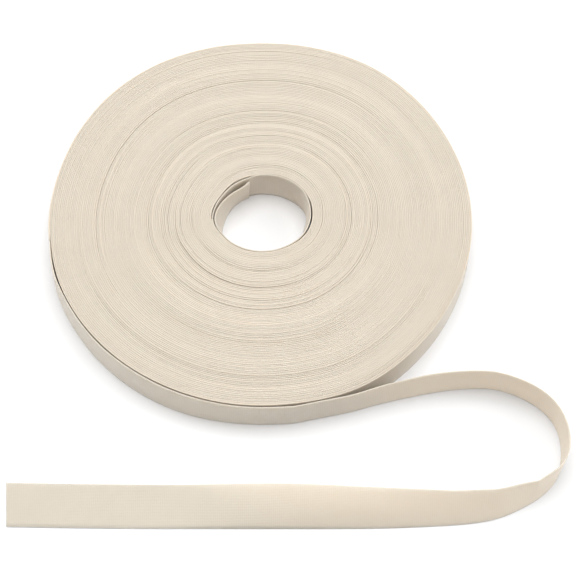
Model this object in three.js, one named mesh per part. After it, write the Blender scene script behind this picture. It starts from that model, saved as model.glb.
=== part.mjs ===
// A roll of narrow woven cotton tape, lying flat, with no core. Its outer end has come loose: it
// stands on edge in a loop beside the roll, twists over and lies flat in front. Its inner end
// springs loose in the hole. Millimetres, +Z up, the origin under the middle of the whole.

import * as THREE from 'three';

// The tape
const tapeWidth = 15;
const clothThickness = 1;

// The roll: an oval disc with an oval hole. Radii are [along X, along Y].
const rollCentre = [-8.3, 18.4];
const rimRadii = [70.9, 67.9];
const holeOffset = [0.3, 1.5];
const holeRadii = [17.3, 15.5];
const sectorAngle = 4;

// The last turn has come loose from looseFrom to looseTo, in degrees counter-clockwise from +X.
const looseFrom = 187;
const looseTo = 298;
const tailStart = 188.2;
const leavesRoll = 278;
const recessDepths = [1.35, 0.85];

// How far the outermost turn lies outside the rim's oval, which makes it as uneven as it is.
const rimWander = [
  { angle: 0, out: -0.19 },
  { angle: 20, out: -0.19 },
  { angle: 32, out: 0.05 },
  { angle: 45, out: 0.48 },
  { angle: 58, out: 0.80 },
  { angle: 70, out: 0.49 },
  { angle: 80, out: 0.13 },
  { angle: 92, out: -0.14 },
  { angle: 100, out: 0.12 },
  { angle: 108, out: 0.43 },
  { angle: 122, out: 0.91 },
  { angle: 135, out: 0.94 },
  { angle: 152, out: 0.39 },
  { angle: 162, out: 0.04 },
  { angle: 172, out: 0.12 },
  { angle: 187, out: 0.50 },
  { angle: 200, out: 1.00 },
  { angle: 212, out: 0.80 },
  { angle: 230, out: 0.42 },
  { angle: 243, out: 0.14 },
  { angle: 265, out: 0.06 },
  { angle: 275, out: 0.05 },
  { angle: 286, out: 0.41 },
  { angle: 294, out: 0.80 },
  { angle: 303, out: 0.70 },
  { angle: 314, out: 0.12 },
  { angle: 324, out: -0.14 },
  { angle: 335, out: -0.33 },
  { angle: 352, out: -0.10 },
  { angle: 360, out: -0.19 },
];

// How the turns sit across the top of the roll. part: 0 at the hole and 1 at the rim.
// rise: how far the turns there stand above the tape's width, in millimetres.
const windingRelief = [
  { part: 0.00, rise: -0.25 },
  { part: 0.05, rise: -0.20 },
  { part: 0.07, rise: 0.05 },
  { part: 0.12, rise: 0.05 },
  { part: 0.14, rise: -0.20 },
  { part: 0.18, rise: -0.05 },
  { part: 0.22, rise: 0.10 },
  { part: 0.24, rise: -0.35 },
  { part: 0.29, rise: -0.05 },
  { part: 0.31, rise: 0.10 },
  { part: 0.33, rise: -0.15 },
  { part: 0.36, rise: 0.00 },
  { part: 0.38, rise: -0.45 },
  { part: 0.45, rise: -0.10 },
  { part: 0.48, rise: 0.30 },
  { part: 0.56, rise: 0.30 },
  { part: 0.61, rise: -0.15 },
  { part: 0.69, rise: -0.10 },
  { part: 0.71, rise: 0.15 },
  { part: 0.79, rise: 0.30 },
  { part: 0.84, rise: -0.25 },
  { part: 0.91, rise: -0.05 },
  { part: 0.985, rise: 0.00 },
  { part: 1.00, rise: -0.25 },
];

// How far the middle of the loose outer turn lies outside the rim's oval while it follows the
// roll, at its upper edge and at its foot.
const looseTurn = [
  { angle: 187, upper: -0.02, foot: 0.00 },
  { angle: 192, upper: 0.48, foot: 0.60 },
  { angle: 198, upper: 0.80, foot: 1.00 },
  { angle: 204, upper: 0.58, foot: 0.95 },
  { angle: 212, upper: 0.43, foot: 0.80 },
  { angle: 221, upper: 0.36, foot: 0.80 },
  { angle: 228, upper: 0.17, foot: 0.78 },
  { angle: 236, upper: 0.01, foot: 0.75 },
  { angle: 248, upper: -0.07, foot: 0.62 },
  { angle: 256, upper: -0.09, foot: 0.34 },
  { angle: 262, upper: -0.05, foot: 0.16 },
  { angle: 268, upper: 0.00, foot: 0.10 },
  { angle: 278, upper: 0.30, foot: 0.40 },
];

// The route of the tape's lower edge after it leaves the roll, seen from above.
const tailRoute = [
  { x: 11.1, y: -47.5 },
  { x: 21.0, y: -45.4 },
  { x: 30.9, y: -42.5 },
  { x: 40.7, y: -40.2 },
  { x: 50.7, y: -38.2 },
  { x: 59.7, y: -37.2 },
  { x: 67.7, y: -37.3 },
  { x: 75.7, y: -39.7 },
  { x: 83.2, y: -44.3 },
  { x: 88.0, y: -50.3 },
  { x: 89.3, y: -57.3 },
  { x: 88.9, y: -63.9 },
  { x: 86.9, y: -69.7 },
  { x: 82.4, y: -74.8 },
  { x: 76.0, y: -78.8 },
  { x: 69.7, y: -81.7 },
  { x: 62.7, y: -83.5 },
  { x: 54.7, y: -84.4 },
  { x: 44.7, y: -85.0 },
  { x: 32.7, y: -85.5 },
  { x: 19.7, y: -85.7 },
  { x: -5.3, y: -85.8 },
  { x: -29.3, y: -85.8 },
  { x: -59.3, y: -85.6 },
  { x: -90.7, y: -85.1 },
];

// How the tape falls over once it has rounded the loop, by its place along X. lean: degrees
// from lying flat to standing on edge. crown: how far its two edges bend down from that.
const tailTwist = [
  { x: -42, lean: 0, crown: 0 },
  { x: -30, lean: 2, crown: 8 },
  { x: -22, lean: 5.5, crown: 14 },
  { x: -12, lean: 12, crown: 20 },
  { x: -4, lean: 19, crown: 22 },
  { x: 4, lean: 27, crown: 22 },
  { x: 20, lean: 39, crown: 22 },
  { x: 35, lean: 49, crown: 17 },
  { x: 43, lean: 54, crown: 13 },
  { x: 54, lean: 61, crown: 8 },
  { x: 62, lean: 64, crown: 6 },
  { x: 69, lean: 70, crown: 5 },
  { x: 74, lean: 74, crown: 3 },
  { x: 78, lean: 79, crown: 1 },
  { x: 82, lean: 85, crown: 0 },
];
const twistStartsBelowY = -60;

// How far it leans back on its way out to the loop, in degrees, by its place along X.
const leansBack = [
  { x: 20, lean: 0 },
  { x: 35, lean: 1.5 },
  { x: 45, lean: 2.6 },
  { x: 52, lean: 2.0 },
  { x: 62, lean: 0.8 },
  { x: 71, lean: 0 },
  { x: 80, lean: 0.4 },
  { x: 88, lean: 1.5 },
];

// How far it leans out from the loop's far side, in degrees, by its place along Y.
const leansOut = [
  { y: -75, lean: -5 },
  { y: -72.5, lean: -2 },
  { y: -69, lean: 2 },
  { y: -64, lean: 3.6 },
  { y: -57, lean: 3.2 },
  { y: -50, lean: 1.5 },
];
const loopStartsBelowY = -50;

// How far the middle of the loose inner turn lies inside the hole's wall, at its upper edge and
// at its foot. It starts at the cut end, sprung away, and goes round once to lie behind that end.
const innerTurn = [
  { angle: 108, upper: 2.50, foot: 2.20 },
  { angle: 116, upper: 3.30, foot: 2.35 },
  { angle: 128, upper: 3.60, foot: 2.50 },
  { angle: 145, upper: 3.40, foot: 2.70 },
  { angle: 162, upper: 2.60, foot: 3.10 },
  { angle: 177, upper: 2.20, foot: 3.20 },
  { angle: 187, upper: 2.10, foot: 3.10 },
  { angle: 197, upper: 1.60, foot: 2.95 },
  { angle: 212, upper: 1.25, foot: 2.75 },
  { angle: 230, upper: 1.25, foot: 2.45 },
  { angle: 262, upper: 1.30, foot: 2.15 },
  { angle: 304, upper: 1.25, foot: 2.45 },
  { angle: 318, upper: 1.15, foot: 2.90 },
  { angle: 330, upper: 1.15, foot: 3.30 },
  { angle: 350, upper: 1.15, foot: 3.40 },
  { angle: 360, upper: 1.05, foot: 3.10 },
  { angle: 372, upper: 0.95, foot: 2.10 },
  { angle: 384, upper: 0.88, foot: 1.10 },
  { angle: 396, upper: 0.85, foot: 0.85 },
  { angle: 460, upper: 0.85, foot: 0.85 },
  { angle: 475, upper: 1.05, foot: 0.90 },
  { angle: 492, upper: 1.15, foot: 1.05 },
  { angle: 508, upper: 1.25, foot: 1.20 },
  { angle: 522, upper: 1.10, foot: 1.15 },
  { angle: 536, upper: 0.92, foot: 0.92 },
  { angle: 546, upper: 0.85, foot: 0.85 },
];

const radians = THREE.MathUtils.degToRad;
const { lerp, clamp } = THREE.MathUtils;

// A value read from a table's column, on a smooth curve through its rows.
function readTable(rows, key, column, at) {
  const last = rows.length - 1;
  if (at <= rows[0][key]) return rows[0][column];
  if (at >= rows[last][key]) return rows[last][column];
  const slopeAt = (i) => {
    if (i === 0 || i === last) return 0;
    const [before, after] = [rows[i - 1], rows[i + 1]];
    return (after[column] - before[column]) / (after[key] - before[key]);
  };
  const next = rows.findIndex((row) => row[key] >= at);
  const [from, to] = [rows[next - 1], rows[next]];
  const span = to[key] - from[key];
  const t = (at - from[key]) / span;
  const rest = 1 - t;
  return from[column] * rest * rest * (1 + 2 * t) + to[column] * t * t * (1 + 2 * rest)
    + span * t * rest * (slopeAt(next - 1) * rest - slopeAt(next) * t);
}

// A point of the oval at an angle in degrees, moved outwards by a distance.
function onOval(centre, radii, degrees, out = 0) {
  const angle = radians(degrees);
  const point = new THREE.Vector2(radii[0] * Math.cos(angle), radii[1] * Math.sin(angle));
  const outward = new THREE.Vector2(Math.cos(angle) / radii[0], Math.sin(angle) / radii[1]);
  return point.addScaledVector(outward.normalize(), out).add(new THREE.Vector2(...centre));
}

const holeCentre = [rollCentre[0] + holeOffset[0], rollCentre[1] + holeOffset[1]];

// The rim steps in where the last turn has come loose, and comes back out along the winding.
function rimRecess(degrees) {
  if (degrees <= looseFrom || degrees >= looseTo) return 0;
  const share = (degrees - looseFrom) / (looseTo - looseFrom);
  const wound = lerp(recessDepths[0], recessDepths[1], Math.min(1, share / 0.85));
  return wound * Math.min(1, (1 - share) / 0.15);
}

// The wound disc: a ring whose section is carried round, with every point then put in its place.
function makeRoll() {
  const top = windingRelief.map(({ part, rise }) => ({ part, z: tapeWidth + rise }));
  const section = [{ part: 0, z: 0 }, ...top, { part: 1, z: 0 }, { part: 0, z: 0 }];

  const angles = [];
  for (let angle = 0; angle < 360; angle += sectorAngle) angles.push(angle);
  angles.push(looseFrom, looseFrom + 0.4);
  angles.sort((a, b) => a - b);

  const outline = section.map(({ part, z }) => new THREE.Vector2(part + 1, z));
  const geometry = new THREE.LatheGeometry(outline.reverse(), angles.length);
  const places = section.slice().reverse();
  const position = geometry.attributes.position;
  for (let i = 0; i < position.count; i += 1) {
    const angle = angles[Math.floor(i / places.length) % angles.length];
    const { part, z } = places[i % places.length];
    const wall = onOval(holeCentre, holeRadii, angle);
    const rim = onOval(rollCentre, rimRadii, angle, readTable(rimWander, 'angle', 'out', angle));
    const recess = rimRecess(angle) * clamp((part - 0.9) / 0.08, 0, 1);
    const inwards = wall.clone().sub(rim).normalize();
    const point = wall.lerp(rim, part).addScaledVector(inwards, recess);
    position.setXYZ(i, point.x, point.y, z);
  }
  return geometry;
}

// A flat cut length of the cloth, bent to shape: place gives the point for a share of the
// length, a distance across the width and a distance from the middle of the thickness.
function bendCloth(length, stepsAlong, stepsAcross, place) {
  const geometry = new THREE.BoxGeometry(
    length, tapeWidth, clothThickness, stepsAlong, stepsAcross, 1);
  const position = geometry.attributes.position;
  for (let i = 0; i < position.count; i += 1) {
    const share = position.getX(i) / length + 0.5;
    const across = position.getY(i) + tapeWidth / 2;
    const point = place(clamp(share, 0, 1), across, position.getZ(i));
    position.setXYZ(i, point.x, point.y, point.z);
  }
  return geometry;
}

// Where a tape lies that stands or leans beside a route: its lower edge on the route, its upper
// edge leaning to the right of the way it runs.
function leaningCloth(route, leanAt) {
  const bend = (share, across, off) => {
    const foot = route.getPointAt(share);
    const along = route.getTangentAt(share);
    const right = new THREE.Vector3(along.y, -along.x, 0);
    const { lean, crown } = leanAt(foot, share);
    const slopeAt = (distance) => radians(lean + crown * (1 - 2 * distance / tapeWidth));
    let sideways = 0;
    let height = 0;
    const steps = 12;
    for (let k = 0; k < steps; k += 1) {
      const slope = slopeAt((across * (k + 0.5)) / steps);
      sideways += (Math.cos(slope) * across) / steps;
      height += (Math.sin(slope) * across) / steps;
    }
    const slope = slopeAt(across);
    const lift = (clothThickness / 2) * Math.abs(Math.cos(slopeAt(0)));
    const point = foot.clone().addScaledVector(right, sideways + off * Math.sin(slope));
    point.z = height + lift - off * Math.cos(slope);
    return point;
  };
  return bend;
}

// The places along a turn of tape whose upper edge and foot lie apart: the foot's points, and
// how far the tape leans at each of them, by the length run so far.
function leaningTurn(rows, centre, radii, side, from, to, steps) {
  const feet = [];
  const leans = [];
  let run = 0;
  for (let i = 0; i <= steps; i += 1) {
    const angle = lerp(from, to, i / steps);
    const upper = readTable(rows, 'angle', 'upper', angle);
    const foot = readTable(rows, 'angle', 'foot', angle);
    feet.push(onOval(centre, radii, angle, side * foot));
    if (i > 0) run += feet[i].distanceTo(feet[i - 1]);
    const sideways = (upper - foot) * side;
    leans.push({ run, lean: THREE.MathUtils.radToDeg(Math.acos(sideways / tapeWidth)) });
  }
  return { feet, leans };
}

function smoothRoute(points) {
  const route = new THREE.CatmullRomCurve3(
    points.map(({ x, y }) => new THREE.Vector3(x, y, 0)), false, 'centripetal');
  route.arcLengthDivisions = 1200;
  return route;
}

// The loose outer end: round the front of the roll, out to the loop, over and along the front.
function makeTail() {
  const turn = leaningTurn(looseTurn, rollCentre, rimRadii, 1, tailStart, leavesRoll, 20);
  const turnLength = turn.leans[turn.leans.length - 1].run;
  const route = smoothRoute([...turn.feet, ...tailRoute]);
  const leanAt = ({ x, y }, share) => {
    const run = share * route.getLength();
    if (run < turnLength) {
      return { lean: readTable(turn.leans, 'run', 'lean', run), crown: 0 };
    }
    if (y < twistStartsBelowY && x < 82) {
      return {
        lean: readTable(tailTwist, 'x', 'lean', x),
        crown: readTable(tailTwist, 'x', 'crown', x),
      };
    }
    if (y < loopStartsBelowY) {
      return { lean: 90 + readTable(leansOut, 'y', 'lean', y), crown: 0 };
    }
    return { lean: 90 + readTable(leansBack, 'x', 'lean', x), crown: 0 };
  };
  return bendCloth(route.getLength(), 120, 4, leaningCloth(route, leanAt));
}

// The loose inner turn, standing nearly on edge inside the hole.
function makeInnerEnd() {
  const last = innerTurn[innerTurn.length - 1].angle;
  const turn = leaningTurn(innerTurn, holeCentre, holeRadii, -1, innerTurn[0].angle, last, 76);
  const route = smoothRoute(turn.feet);
  const leanAt = (foot, share) => {
    const run = share * route.getLength();
    return { lean: readTable(turn.leans, 'run', 'lean', run), crown: 0 };
  };
  return bendCloth(route.getLength(), 90, 1, leaningCloth(route, leanAt));
}

function cotton(color) {
  return new THREE.MeshStandardMaterial({ color, roughness: 0.9, metalness: 0 });
}

const tapeRoll = new THREE.Group();
const pieces = {
  roll: [makeRoll(), cotton(0xe0d5c5)],
  tail: [makeTail(), cotton(0xe3d9ca)],
  inner_end: [makeInnerEnd(), cotton(0xdcd0bd)],
};
for (const [name, [geometry, material]] of Object.entries(pieces)) {
  const mesh = new THREE.Mesh(geometry, material);
  mesh.name = name;
  tapeRoll.add(mesh);
}

export default tapeRoll;
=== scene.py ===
import math

import bpy
import numpy as np
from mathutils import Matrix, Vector


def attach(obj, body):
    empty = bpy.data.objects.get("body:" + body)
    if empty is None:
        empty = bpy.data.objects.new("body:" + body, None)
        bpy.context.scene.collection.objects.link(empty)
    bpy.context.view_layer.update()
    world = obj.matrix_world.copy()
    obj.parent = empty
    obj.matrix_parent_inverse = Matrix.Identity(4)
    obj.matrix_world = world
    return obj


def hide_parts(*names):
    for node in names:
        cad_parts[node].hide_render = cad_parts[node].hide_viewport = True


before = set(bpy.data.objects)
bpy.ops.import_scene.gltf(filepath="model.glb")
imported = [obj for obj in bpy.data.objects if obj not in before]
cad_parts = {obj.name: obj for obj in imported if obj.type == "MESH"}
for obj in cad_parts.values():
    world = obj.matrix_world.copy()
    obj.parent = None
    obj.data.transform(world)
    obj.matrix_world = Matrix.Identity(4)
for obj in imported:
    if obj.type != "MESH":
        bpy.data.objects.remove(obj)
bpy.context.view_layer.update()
MM = 0.001

# The tape
tape_width = 15.0
tape_thickness = 0.6
weft_pitch = 0.62
warp_pitch = 0.50

# The roll: an oval disc with an oval hole. Radii are (along X, along Y).
roll_centre = np.array([-8.3, 18.4])
rim_radii = np.array([70.9, 67.9])
hole_centre = roll_centre + [0.3, 1.5]
hole_radii = np.array([16.95, 14.95])
turns = 90
stations_per_turn = 128
loose_from = 187.0

# How far the outermost turn lies outside the rim's oval, and the inmost one inside the hole's.
rim_wander = dict(
    angle=[0, 20, 32, 45, 58, 70, 80, 92, 100, 108, 122, 135, 143, 152, 162, 172, 180, 187, 193,
           200, 212, 230, 243, 265, 275, 286, 294, 303, 314, 324, 335, 343, 352, 360],
    out=[-.19, -.19, .05, .48, .80, .49, .13, -.14, .12, .43, .91, .94, .67, .39, .04, .12, .41,
         .50, .80, 1.0, .80, .42, .14, .06, .05, .41, .80, .70, .12, -.14, -.33, -.25, -.10, -.19],
)
hole_wander = dict(
    angle=[0, 16, 27, 45, 72, 85, 98, 107, 123, 134, 148, 161, 174, 187, 200, 212, 248, 262, 304,
           318, 336, 360],
    inside=[.48, .28, .22, .03, .0, .26, .50, .64, .72, 1.0, 1.32, 1.10, .60, .34, .36, .70, .77,
            .85, .92, .60, .46, .48],
)

# How the turns sit across the top of the roll. part: 0 at the hole and 1 at the rim.
# rise: how far the turns there stand above the tape's width.
winding_relief = dict(
    part=[0, .05, .07, .12, .14, .18, .22, .24, .29, .31, .33, .36, .38, .45, .48, .56, .61, .69,
          .71, .79, .84, .91, .985, 1],
    rise=[-.18, -.15, .04, .04, -.15, -.05, .07, -.25, -.05, .07, -.12, .0, -.30, -.08, .20, .20,
          -.12, -.08, .10, .20, -.18, -.05, .0, -.1],
)

# Turns that sit low for part of the way round, and draw the dark lines of the winding.
# start and stop: degrees counter-clockwise from +X. drop: how far the turn sits down.
low_turns = [
    dict(part=.062, start=35, stop=112, drop=.21),
    dict(part=.105, start=35, stop=85, drop=.108),
    dict(part=.130, start=190, stop=290, drop=.18),
    dict(part=.195, start=70, stop=115, drop=.096),
    dict(part=.232, start=5, stop=65, drop=.108),
    dict(part=.238, start=195, stop=292, drop=.252),
    dict(part=.258, start=192, stop=285, drop=.21),
    dict(part=.285, start=50, stop=108, drop=.12),
    dict(part=.320, start=195, stop=268, drop=.18),
    dict(part=.362, start=225, stop=305, drop=.18),
    dict(part=.392, start=0, stop=150, drop=.15),
    dict(part=.425, start=15, stop=110, drop=.15),
    dict(part=.425, start=195, stop=248, drop=.168),
    dict(part=.474, start=20, stop=140, drop=.21),
    dict(part=.565, start=245, stop=292, drop=.132),
    dict(part=.600, start=232, stop=282, drop=.15),
    dict(part=.706, start=44, stop=200, drop=.252),
    dict(part=.786, start=28, stop=118, drop=.18),
    dict(part=.815, start=200, stop=325, drop=.168),
    dict(part=.876, start=250, stop=305, drop=.108),
    dict(part=.900, start=212, stop=252, drop=.108),
    dict(part=.925, start=68, stop=122, drop=.12),
    dict(part=.965, start=38, stop=78, drop=.108),
]

# The outermost turns step down towards the rim. drop: how far by the outermost one. steepness:
# how much of it falls to the last few turns.
rim_steps = dict(angle=[0, 270, 285, 300, 330, 345, 356, 360],
                 drop=[0, 0, .3, .9, 1.1, .7, 0, 0], from_part=.945, steepness=1.4)

# Turns that aren't drawn tight for part of the way round, with a thin dark gap outside them.
# gap: as a share of the room that a turn has.
open_turns = [
    dict(part=.030, start=60, stop=130, gap=.12),
    dict(part=.062, start=300, stop=470, gap=.16),
    dict(part=.100, start=215, stop=330, gap=.10),
    dict(part=.125, start=120, stop=300, gap=.14),
    dict(part=.190, start=90, stop=330, gap=.12),
    dict(part=.202, start=330, stop=490, gap=.14),
    dict(part=.222, start=150, stop=250, gap=.12),
    dict(part=.237, start=200, stop=430, gap=.16),
    dict(part=.262, start=135, stop=290, gap=.16),
    dict(part=.290, start=60, stop=210, gap=.12),
    dict(part=.305, start=170, stop=300, gap=.10),
    dict(part=.362, start=230, stop=400, gap=.14),
    dict(part=.388, start=20, stop=230, gap=.16),
    dict(part=.402, start=330, stop=520, gap=.14),
    dict(part=.455, start=200, stop=300, gap=.08),
    dict(part=.520, start=30, stop=120, gap=.08),
    dict(part=.600, start=225, stop=300, gap=.12),
    dict(part=.650, start=120, stop=190, gap=.08),
    dict(part=.706, start=60, stop=215, gap=.14),
    dict(part=.815, start=205, stop=330, gap=.12),
    dict(part=.860, start=20, stop=90, gap=.08),
    dict(part=.930, start=330, stop=440, gap=.08),
]

# How far a low or open turn's mark fades at its two ends, in degrees, and how many turns wide it is.
mark_fade = 14
mark_width = 0.75

# The rings on the roll aren't quite round: how far they swing in and out, as a share of the way
# from the hole to the rim.
ring_swings = [dict(reach=.006, waves=1, phase=40), dict(reach=.004, waves=2, phase=0)]

# What wanders smoothly along the tape, with its reach, its wavelength and its seed: where one turn
# ends and the next begins, in turns; the turns' height, in millimetres; their slack, as a share of
# the room that a turn has; and the loose end's crown, in degrees.
turn_wander = dict(reach=.2, wavelength=.9, seed=11)
height_wanders = [dict(reach=.045, wavelength=120, seed=7), dict(reach=.02, wavelength=40, seed=8)]
slack_wander = dict(reach=.006, wavelength=80, seed=5)
mean_slack = .012
crown_wander = dict(reach=1.2, wavelength=34, seed=3)
crown_wanders_from = dict(start=60, over=40)

# The section of a wound turn, one row for each point round it: the share of the way across it,
# the share of its height, the millimetres added to that height, which round its upper corners,
# and the point's place across the cloth, for the weave.
turn_section = np.array([
    [0.0, 0.0, 0.0, 0.0],
    [0.0, 1.0, -0.07, tape_width],
    [0.15, 1.0, -0.025, tape_width + .12],
    [0.36, 1.0, 0.0, tape_width + .24],
    [0.64, 1.0, 0.0, tape_width + .38],
    [0.85, 1.0, -0.025, tape_width + .5],
    [1.0, 1.0, -0.07, tape_width + .62],
    [1.0, 0.0, 0.0, 2 * tape_width + .62],
])

# Which of its faces are the selvedge on top, and which of its points are sharp.
turn_top = [0, 1, 1, 1, 1, 1, 0, 0]
turn_corners = (0, 1, 6, 7)

# How far the middle of the loose outer turn lies outside the rim's oval while it follows the
# roll, at its upper edge and at its foot.
loose_turn = dict(
    angle=[187, 192, 198, 204, 212, 221, 228, 236, 248, 256, 262, 268, 274, 278],
    upper=[.20, .68, 1.00, .78, .63, .56, .37, .21, .13, .11, .15, .18, .26, .46],
    foot=[.20, .80, 1.20, 1.15, 1.0, 1.0, .98, .95, .82, .54, .36, .28, .36, .60],
)

# How far the tape leans back on its way out to the loop, in degrees, by its place along X.
leans_back = dict(x=[20, 35, 45, 52, 62, 71, 80, 88], lean=[0, 1.5, 2.6, 2.0, .8, 0, .4, 1.5])

# How it leans out from the loop's far side, in degrees, by its place along Y.
leans_out = dict(y=[-75, -72.5, -69.5, -64, -57, -50], lean=[-5, -3.0, 1.0, 5, 4, 1.8])

# The end is cut a little askew. How far its two corners lie beyond the end of the route, and over
# what length the cloth is drawn with them.
cut_corners = dict(near=-.7, far=.35, over=12)

# The route of the loose end's lower edge after it leaves the roll, seen from above.
tail_route = [
    (11.1, -47.5), (21.0, -45.4), (30.9, -42.5), (40.7, -40.2), (50.7, -38.2), (59.7, -37.2),
    (67.7, -37.3), (75.7, -39.7), (83.2, -44.3), (88.0, -50.3), (89.7, -57.3), (89.2, -63.9),
    (87.1, -69.75), (82.4, -74.8), (76.0, -78.8), (69.7, -81.7), (62.7, -83.5), (54.7, -84.4),
    (44.7, -85.0), (32.7, -85.5), (19.7, -85.7), (-5.3, -85.8), (-29.3, -85.8), (-59.3, -85.6),
    (-90.7, -85.1),
]

# How the tape falls over once it has rounded the loop, by its place along X. lean: degrees from
# lying flat to standing on edge. crown: how far its two edges bend down from that.
tail_twist = dict(
    x=[-42, -30, -22, -12, -4, 4, 20, 35, 43, 54, 62, 69, 74, 78, 82],
    lean=[0, 2, 5.5, 12, 19, 27, 39, 49, 54, 61, 64, 70, 74, 79, 85],
    crown=[0, 8, 14, 20, 22, 22, 22, 17, 13, 8, 6, 5, 3, 1, 0],
)
twist_below_y = -60
twist_left_of_x = 82

# The loop lies below this place along Y, and to the right of this one along X.
loop_below_y = -50
loop_right_of_x = 60

# How far the middle of the loose inner turn lies inside the hole's oval, at the tape's upper edge
# and at its foot. It starts at the cut end, sprung away, and goes round once to lie behind it.
inner_turn = dict(
    angle=[108, 116, 128, 145, 162, 177, 187, 195, 203, 212, 230, 262, 304, 318, 327, 350, 360,
           372, 384, 392, 405, 420, 434, 445, 458, 467, 475, 487, 501, 513, 525, 537, 547],
    upper=[2.26, 3.15, 3.5, 3.15, 2.3, 1.36, .82, .72, .74, 1.0, 1.02, 1.08, 1.06, .88, .87, .86,
           .74, .60, .40, .14, .02, .0, .0, .12, .35, .85, 1.0, 1.08, 1.30, 1.22, .91, .43, .04],
    foot=[.78, 1.0, 1.45, 2.35, 2.95, 3.0, 2.9, 2.8, 2.65, 2.5, 2.2, 1.9, 2.2, 2.9, 3.4, 3.5,
          3.2, 2.1, .7, .18, .02, .0, .0, .0, .02, .08, .28, .70, 1.5, 2.0, 1.9, .9, .04],
)


def read_table(table, key, column, at):
    """A table's column at those places of its key column, on a smooth curve through its rows."""
    keys = np.array(table[key], float)
    values = np.array(table[column], float)
    slopes = np.zeros(len(keys))
    slopes[1:-1] = (values[2:] - values[:-2]) / (keys[2:] - keys[:-2])
    at = np.clip(at, keys[0], keys[-1])
    i = np.clip(np.searchsorted(keys, at, side="right") - 1, 0, len(keys) - 2)
    span = keys[i + 1] - keys[i]
    t = (at - keys[i]) / span
    r = 1 - t
    ends = values[i] * r * r * (1 + 2 * t) + values[i + 1] * t * t * (1 + 2 * r)
    return ends + span * t * r * (slopes[i] * r - slopes[i + 1] * t)


def on_oval(centre, radii, degrees, out=0.0):
    """Points of an oval at those angles, moved outwards by a distance."""
    angle = np.radians(np.asarray(degrees, float))
    direction = np.stack([np.cos(angle), np.sin(angle)], -1)
    normal = direction / radii
    normal /= np.linalg.norm(normal, axis=-1, keepdims=True)
    return centre + direction * radii + normal * np.asarray(out)[..., None]


def slow_noise(places, wander):
    """Smooth noise along a length, as far either way as its reach, with a knot a wavelength."""
    at = np.asarray(places) / wander["wavelength"]
    count = int(np.max(at)) + 3
    knots = np.random.default_rng(wander["seed"]).uniform(-1, 1, count)
    i = np.floor(at).astype(int)
    t = at - i
    t = t * t * (3 - 2 * t)
    return wander["reach"] * (knots[i] * (1 - t) + knots[i + 1] * t)


def smooth_route(points, spacing, softening):
    """A centripetal curve through the points, evenly spaced and then smoothed as often as softening
    says: (points, directions, places)."""
    between = 24
    p = np.array(points, float)
    p = np.vstack([2 * p[0] - p[1], p, 2 * p[-1] - p[-2]])
    knots = np.concatenate([[0], np.cumsum(np.sqrt(np.linalg.norm(np.diff(p, axis=0), axis=1)))])
    dense = []
    for i in range(1, len(p) - 2):
        t0, t1, t2, t3 = knots[i - 1:i + 3]
        t = np.linspace(t1, t2, between, endpoint=False)[:, None]
        a1 = (t1 - t) / (t1 - t0) * p[i - 1] + (t - t0) / (t1 - t0) * p[i]
        a2 = (t2 - t) / (t2 - t1) * p[i] + (t - t1) / (t2 - t1) * p[i + 1]
        a3 = (t3 - t) / (t3 - t2) * p[i + 1] + (t - t2) / (t3 - t2) * p[i + 2]
        b1 = (t2 - t) / (t2 - t0) * a1 + (t - t0) / (t2 - t0) * a2
        b2 = (t3 - t) / (t3 - t1) * a2 + (t - t1) / (t3 - t1) * a3
        dense.append((t2 - t) / (t2 - t1) * b1 + (t - t1) / (t2 - t1) * b2)
    dense = np.vstack(dense + [p[-2:-1]])
    run = np.concatenate([[0], np.cumsum(np.linalg.norm(np.diff(dense, axis=0), axis=1))])
    places = np.arange(0, run[-1], spacing)
    places = np.append(places, run[-1])
    line = np.stack([np.interp(places, run, dense[:, k]) for k in (0, 1)], -1)
    for _ in range(softening):
        line[1:-1] = line[1:-1] * 0.5 + (line[:-2] + line[2:]) * 0.25
    direction = np.gradient(line, axis=0)
    direction /= np.linalg.norm(direction, axis=1, keepdims=True)
    return line, direction, places


def make_mesh(name, grid, uv, material_of=None, sharp=()):
    """A mesh from stations of closed sections: grid and uv are [station, section point, ...].
    material_of: the material of each face round the section. sharp: its points that are creased."""
    stations, ring = grid.shape[:2]
    i = np.arange(stations - 1)[:, None] * ring
    j = np.arange(ring)[None, :]
    k = (j + 1) % ring
    faces = np.stack([i + j, i + k, i + ring + k, i + ring + j], -1).reshape(-1, 4)
    mesh = bpy.data.meshes.new(name)
    ends = [list(range(ring))[::-1], [(stations - 1) * ring + n for n in range(ring)]]
    mesh.from_pydata((grid.reshape(-1, 3) * MM).tolist(), [], faces.tolist() + ends)
    corners = np.empty(len(mesh.loops), int)
    mesh.loops.foreach_get("vertex_index", corners)
    coords = uv.reshape(-1, 2)[corners].copy()

    # The last face round each section runs on across the cloth, instead of back to its start.
    wraps = np.zeros(len(corners), bool)
    body = faces.shape[0] * 4
    column = corners[:body] % ring
    last = np.repeat(np.tile(np.arange(ring) == ring - 1, stations - 1), 4)
    wraps[:body] = last & (column == 0)
    coords[wraps, 1] += uv.reshape(stations, ring, 2)[0, -1, 1] + tape_thickness
    layer = mesh.uv_layers.new(name="cloth")
    layer.data.foreach_set("uv", (coords * MM).ravel())
    mesh.polygons.foreach_set("use_smooth", [True] * len(mesh.polygons))
    if material_of is not None:
        index = np.tile(material_of, stations - 1).tolist() + [0] * len(ends)
        mesh.polygons.foreach_set("material_index", index)
    if len(sharp):
        pairs = np.empty(len(mesh.edges) * 2, int)
        mesh.edges.foreach_get("vertices", pairs)
        pairs = pairs.reshape(-1, 2) % ring
        along = (pairs[:, 0] == pairs[:, 1]) & np.isin(pairs[:, 0], sharp)
        crease = mesh.attributes.new("sharp_edge", "BOOLEAN", "EDGE")
        crease.data.foreach_set("value", along)
    mesh.update()
    piece = bpy.data.objects.new(name, mesh)
    bpy.context.scene.collection.objects.link(piece)
    return piece


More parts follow.
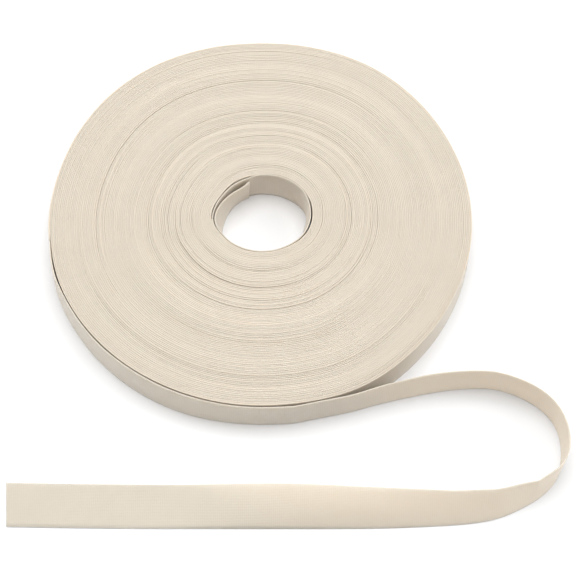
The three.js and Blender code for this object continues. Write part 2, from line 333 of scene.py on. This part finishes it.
def cloth_section(steps):
    """The section of the tape: (across, off) round it, with soft selvedges that are thinner."""
    half = tape_thickness / 2
    soft = half * 0.9
    thinning = 0.4
    thin_width = 0.7
    flat = np.linspace(soft, tape_width - soft, steps)
    turn = np.radians([60, 30, 0, -30, -60])
    low_edge = [(soft - soft * math.cos(a), -half * math.sin(a)) for a in turn]
    top = [(across, half) for across in flat]
    high_edge = [(tape_width - soft + soft * math.cos(a), half * math.sin(a)) for a in turn]
    under = [(across, -half) for across in flat[::-1]]
    section = np.array(low_edge[::-1] + top + high_edge + under)
    to_edge = np.minimum(section[:, 0], tape_width - section[:, 0])
    section[:, 1] *= 1 - thinning * np.exp(-(to_edge / thin_width) ** 2)
    return section


def lay_cloth(name, route, lean, crown, steps_across, slide=None):
    """A length of tape whose lower edge follows a route while it leans to its right, and its flat
    length. slide: how far its lower and its upper edge are drawn along the route at each place."""
    line, direction, places = route
    section = cloth_section(steps_across)
    across = section[:, 0][None, :]
    off = section[:, 1][None, :]
    right = np.stack([direction[:, 1], -direction[:, 0]], -1)
    sideways = np.zeros((len(line), section.shape[0]))
    height = np.zeros_like(sideways)
    pieces = 12

    def slope_at(distance):
        bend = 1 - 2 * distance / tape_width
        return np.radians(lean[:, None] + crown[:, None] * bend)

    for k in range(pieces):
        slope = slope_at(across * (k + 0.5) / pieces)
        sideways += np.cos(slope) * across / pieces
        height += np.sin(slope) * across / pieces
    slope = slope_at(across)
    sideways += off * np.sin(slope)
    height -= off * np.cos(slope)
    flat = line[:, None, :] + right[:, None, :] * sideways[..., None]
    if slide is not None:
        lower, upper = slide
        share = across / tape_width
        drawn = lower[:, None] * (1 - share) + upper[:, None] * share
        flat = flat + direction[:, None, :] * drawn[..., None]
    grid = np.concatenate([flat, height[..., None]], -1)
    grid[..., 2] -= np.minimum(grid[..., 2].min(axis=1), 0)[:, None]
    uv = np.stack(np.broadcast_arrays(places[:, None], across), -1)
    piece = make_mesh(name, grid, uv.astype(float))
    return piece, float(places[-1])


def make_tail():
    """The loose outer end: round the front of the roll, out to the loop, over and along."""
    angles = np.linspace(loose_from, loose_turn["angle"][-1], num=30)
    upper = read_table(loose_turn, "angle", "upper", angles)
    foot = read_table(loose_turn, "angle", "foot", angles)
    start = on_oval(roll_centre, rim_radii, angles, foot)
    route = smooth_route(start.tolist() + tail_route, spacing=0.8, softening=6)
    line, _, places = route
    x, y = line.T
    run = np.concatenate([[0], np.cumsum(np.linalg.norm(np.diff(start, axis=0), axis=1))])
    spread = np.interp(places, run, upper - foot, right=0)
    lean = np.degrees(np.arccos(spread / tape_width))
    going_out = (y > loop_below_y) & (places > run[-1])
    lean = np.where(going_out, 90 + read_table(leans_back, "x", "lean", x), lean)
    in_loop = (y < loop_below_y) & (x > loop_right_of_x)
    lean = np.where(in_loop, 90 + read_table(leans_out, "y", "lean", y), lean)
    fallen = (y < twist_below_y) & (x < twist_left_of_x)
    lean = np.where(fallen, read_table(tail_twist, "x", "lean", x), lean)
    crown = np.where(fallen, read_table(tail_twist, "x", "crown", x), 0.0)
    loose = np.clip((places - crown_wanders_from["start"]) / crown_wanders_from["over"], 0, 1)
    crown = crown + slow_noise(places, crown_wander) * loose
    last = np.clip((places - places[-1]) / cut_corners["over"] + 1, 0, 1)
    slide = (cut_corners["near"] * last, cut_corners["far"] * last)
    return lay_cloth("tail_tape", route, lean, crown, steps_across=13, slide=slide)


def make_inner_end():
    """The loose inner turn, standing nearly on edge inside the hole."""
    angles = np.linspace(inner_turn["angle"][0], inner_turn["angle"][-1], num=110)
    foot = read_table(inner_turn, "angle", "foot", angles)
    upper = read_table(inner_turn, "angle", "upper", angles)
    ring = on_oval(hole_centre, hole_radii, angles, -foot)
    route = smooth_route(ring, spacing=0.6, softening=3)
    run = np.concatenate([[0], np.cumsum(np.linalg.norm(np.diff(ring, axis=0), axis=1))])
    spread = np.interp(route[2], run * route[2][-1] / run[-1], foot - upper)
    lean = np.degrees(np.arccos(spread / tape_width))
    return lay_cloth("inner_tape", route, lean, np.zeros_like(lean), steps_across=9)


def near_mark(mark, part, angle):
    """How much of a mark in the winding is there at each place: 0 to 1."""
    middle = (mark["start"] + mark["stop"]) / 2
    reach = (mark["stop"] - mark["start"]) / 2
    away = np.abs((angle - middle + 180) % 360 - 180)
    fade = np.clip((reach - away) / mark_fade + 0.5, 0, 1)
    return fade * np.exp(-((part - mark["part"]) * turns / mark_width) ** 2)


def winding_height(part, angle, length):
    """How high the upper edge of the wound tape stands at each place along it."""
    swing = sum(ring["reach"] * np.sin(np.radians(ring["waves"] * angle + ring["phase"]))
                for ring in ring_swings)
    rise = read_table(winding_relief, "part", "rise", part + swing)
    rise = rise + sum(slow_noise(length, wander) for wander in height_wanders)
    for mark in low_turns:
        rise = rise - mark["drop"] * near_mark(mark, part, angle)
    outermost = np.clip((part - rim_steps["from_part"]) / (1 - rim_steps["from_part"]), 0, 1)
    rim_drop = read_table(rim_steps, "angle", "drop", angle % 360)
    return tape_width + rise - rim_drop * outermost ** rim_steps["steepness"]


def make_wound_tape():
    """Ninety turns of the ribbon, each between the one before it and the one after."""
    last = loose_from + 360 * turns
    angle = np.linspace(loose_from, last, turns * stations_per_turn + 1)
    part = (angle - loose_from) / (360 * (turns + 1))
    once = angle % 360
    inside = read_table(hole_wander, "angle", "inside", once)
    wall = on_oval(hole_centre, hole_radii, angle, -inside)
    rim = on_oval(roll_centre, rim_radii, angle, read_table(rim_wander, "angle", "out", once))
    step = 1.0 / (turns + 1)
    wound = (angle - loose_from) / 360
    edge = wound + slow_noise(wound, turn_wander) * np.clip(wound, 0, 1)
    next_edge = wound + 1 + slow_noise(wound + 1, turn_wander) * np.clip(turns - wound, 0, 1)
    inner = wall + (rim - wall) * (edge * step)[:, None]
    outer = wall + (rim - wall) * (next_edge * step)[:, None]
    middle = (inner + outer) / 2
    run = np.concatenate([[0], np.cumsum(np.linalg.norm(np.diff(middle, axis=0), axis=1))])
    height = winding_height(part + step / 2, angle, run)
    slack = mean_slack + slow_noise(run, slack_wander)
    gap = slack + sum(mark["gap"] * near_mark(mark, part, angle) for mark in open_turns)
    aside, up, rounding, around = turn_section.T
    share = slack[:, None] + aside * (1 - slack - gap)[:, None]
    place = inner[:, None, :] + (outer - inner)[:, None, :] * share[..., None]
    z = up * height[:, None] + rounding
    grid = np.concatenate([place, z[..., None]], -1)
    uv = np.stack(np.broadcast_arrays(run[:, None], around), -1).astype(float)
    return make_mesh("wound_tape", grid, uv, turn_top, turn_corners)


# Materials. Noise scales are waves in a metre.

thread_wander = dict(scale=700.0, detail=2.0, reach=0.22)
fibre_noise = dict(scale=2600.0, detail=3.0, in_height=0.5, in_tone=0.16)
mottle_noise = dict(scale=130.0, detail=3.0, in_tone=0.13)
stretch_noise = dict(scale=16.0, detail=2.0)
thread_height = 0.75
middle_thread = 0.6
middle_tone = 0.72

# The cloth's two looks: its woven face, and the selvedges of the wound turns. light_depth: how far
# light goes into it, in millimetres. steepness: how soft its threads are. The last two numbers: how
# much painted shade darkens the cloth towards its shaded colour between its threads, with a painted
# highlight on their crowns, and how much of its tone comes from the tone that each stretch of tape
# has.
woven_face = dict(colour=(0.708, 0.634, 0.55), shaded=(0.522, 0.452, 0.37), light_depth=2.2,
                  crossed=True, steepness=0.6, depth=0.06, painted_thread_shade=0.22, in_tone=0.03)
selvedge_face = dict(colour=(0.695, 0.611, 0.522), shaded=(0.51, 0.435, 0.35), light_depth=1.0,
                     crossed=False, steepness=0.7, depth=0.012, painted_thread_shade=0.1, in_tone=0.10)


def node(tree, kind, inputs=(), **settings):
    """A new node with its settings, its inputs joined or set in order or by name."""
    made = tree.nodes.new(kind)
    for name, value in settings.items():
        setattr(made, name, value)
    pairs = inputs.items() if isinstance(inputs, dict) else enumerate(inputs)
    for key, value in pairs:
        if isinstance(value, bpy.types.NodeSocket):
            tree.links.new(value, made.inputs[key])
        else:
            made.inputs[key].default_value = value
    return made


def math_node(tree, operation, *values):
    return node(tree, "ShaderNodeMath", values, operation=operation).outputs[0]


def noise_node(tree, vector, noise):
    settings = {"Vector": vector, "Scale": noise["scale"], "Detail": noise["detail"]}
    return node(tree, "ShaderNodeTexNoise", settings).outputs[0]


def cloth_material(name, face):
    """Unbleached cotton, as one of its two looks."""
    material = bpy.data.materials.new(name)
    material.use_nodes = True
    tree = material.node_tree
    tree.nodes.clear()

    def m(operation, *values):
        return math_node(tree, operation, *values)

    def swing(noise, amount):
        return m("MULTIPLY", m("SUBTRACT", noise, 0.5), amount)

    uv = node(tree, "ShaderNodeUVMap", uv_map="cloth").outputs[0]
    place = node(tree, "ShaderNodeTexCoord").outputs["Object"]
    split = node(tree, "ShaderNodeSeparateXYZ", [uv])
    along, across = split.outputs[0], split.outputs[1]

    # The threads: ribs at each weft thread, crossed by the warp on the woven face.
    shift = swing(noise_node(tree, place, thread_wander), thread_wander["reach"] * MM)
    weft = m("SINE", m("MULTIPLY", m("ADD", along, shift), math.pi / (weft_pitch * MM)))
    warp = m("SINE", m("MULTIPLY", m("ADD", across, shift), math.pi / (warp_pitch * MM)))
    ribs = m("MULTIPLY", weft, warp) if face["crossed"] else weft
    threads = m("POWER", m("ABSOLUTE", ribs), face["steepness"])
    fibre = noise_node(tree, place, fibre_noise)
    height = m("ADD", m("MULTIPLY", threads, thread_height),
               m("MULTIPLY", fibre, fibre_noise["in_height"]))

    # Each stretch of the tape has its own tone, and the cloth is faintly mottled.
    length_only = node(tree, "ShaderNodeCombineXYZ", [along]).outputs[0]
    stretch = swing(noise_node(tree, length_only, stretch_noise), face["in_tone"])
    mottle = swing(noise_node(tree, place, mottle_noise), mottle_noise["in_tone"])
    tone = m("ADD", m("ADD", stretch, mottle), swing(fibre, fibre_noise["in_tone"]))
    # Painted shade: the cloth is drawn darker towards its shaded colour between its threads, and
    # lighter on their crowns, as a painted highlight.
    depth = m("MULTIPLY", m("SUBTRACT", threads, middle_thread), face["painted_thread_shade"])
    mix = node(tree, "ShaderNodeMix", data_type="RGBA")
    tree.links.new(m("ADD", m("ADD", depth, tone), middle_tone), mix.inputs["Factor"])
    mix.inputs[6].default_value = (*face["shaded"], 1)
    mix.inputs[7].default_value = (*face["colour"], 1)

    relief = {"Strength": 1.0, "Distance": face["depth"] * MM, "Height": height}
    bump = node(tree, "ShaderNodeBump", relief)
    shader = node(tree, "ShaderNodeBsdfPrincipled", {
        "Base Color": mix.outputs[2],
        "Normal": bump.outputs[0],
        "Roughness": 0.9,
        "Specular IOR Level": 0.25,
        "Sheen Weight": 0.12,
        "Sheen Roughness": 0.6,
        "Subsurface Weight": 0.8,
        "Subsurface Radius": (1.0, 0.92, 0.85),
        "Subsurface Scale": face["light_depth"] * MM,
    })
    node(tree, "ShaderNodeOutputMaterial", [shader.outputs[0]])
    return material


woven = cloth_material("cotton_weave", woven_face)
selvedge = cloth_material("cotton_selvedge", selvedge_face)

wound = make_wound_tape()
wound.data.materials.append(woven)
wound.data.materials.append(selvedge)
tail, tail_length = make_tail()
tail.data.materials.append(woven)
inner, inner_length = make_inner_end()
inner.data.materials.append(woven)

for piece, solid, finish in ((wound, "roll", "wound_cotton"), (tail, "tail", "cotton_tape"),
                             (inner, "inner_end", "cotton_tape")):
    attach(piece, "root")
    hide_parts(solid)


# The floor, the light and the camera, in metres

camera_rise = math.radians(65.5)
camera_distance = 0.7585
camera_target = Vector((0.00053, -0.00062, 0.0))
focal_pixels = 2250
photo_pixels = 576
sensor_width = 36

# The photograph's floor is bleached to pure white, all but the shadows beside the tape.
floor_white = (0.87, 0.885, 0.92)
floor_size = 8
floor_drop = 0.05 * MM

world_light = dict(colour=(1, 0.955, 0.87), strength=0.56)
lamp_colour = (0.97, 0.99, 1.0)
lamps = [
    dict(name="above", place=(0, 0.10, 1.2), size=0.9, power=8.7),
    dict(name="right", place=(1.6, 0.3, 1.4), size=1.4, power=14.5),
    dict(name="left", place=(-1.4, 0.9, 1.3), size=1.4, power=11.5),
]


def look_at(item, target):
    item.rotation_euler = (Vector(target) - item.location).to_track_quat("-Z", "Y").to_euler()


def plain_floor():
    bpy.ops.mesh.primitive_plane_add(size=floor_size, location=(0, 0, -floor_drop))
    floor = bpy.context.object
    floor.name = "floor"
    material = bpy.data.materials.new("floor_white")
    material.use_nodes = True
    tree = material.node_tree
    tree.nodes.clear()
    shader = node(tree, "ShaderNodeBsdfDiffuse", {"Color": (*floor_white, 1)})
    node(tree, "ShaderNodeOutputMaterial", [shader.outputs[0]])
    floor.data.materials.append(material)


def soft_light(name, place, size, power):
    light = bpy.data.lights.new(name, "AREA")
    light.shape = "DISK"
    light.size = size
    light.energy = power
    light.color = lamp_colour
    lamp = bpy.data.objects.new(name, light)
    lamp.location = place
    look_at(lamp, (0, 0, 0))
    bpy.context.scene.collection.objects.link(lamp)


def studio():
    scene = bpy.context.scene
    world = bpy.data.worlds.new("studio")
    world.use_nodes = True
    background = world.node_tree.nodes["Background"]
    background.inputs[0].default_value = (*world_light["colour"], 1)
    background.inputs[1].default_value = world_light["strength"]
    scene.world = world
    for lamp in lamps:
        soft_light(**lamp)
    scene.view_settings.view_transform = "Standard"
    camera_data = bpy.data.cameras.new("camera")
    camera_data.sensor_width = sensor_width
    camera_data.lens = sensor_width * focal_pixels / photo_pixels
    camera = bpy.data.objects.new("camera", camera_data)
    back = Vector((0, -math.cos(camera_rise), math.sin(camera_rise)))
    camera.location = camera_target + back * camera_distance
    look_at(camera, camera_target)
    scene.collection.objects.link(camera)
    scene.camera = camera


plain_floor()
studio()
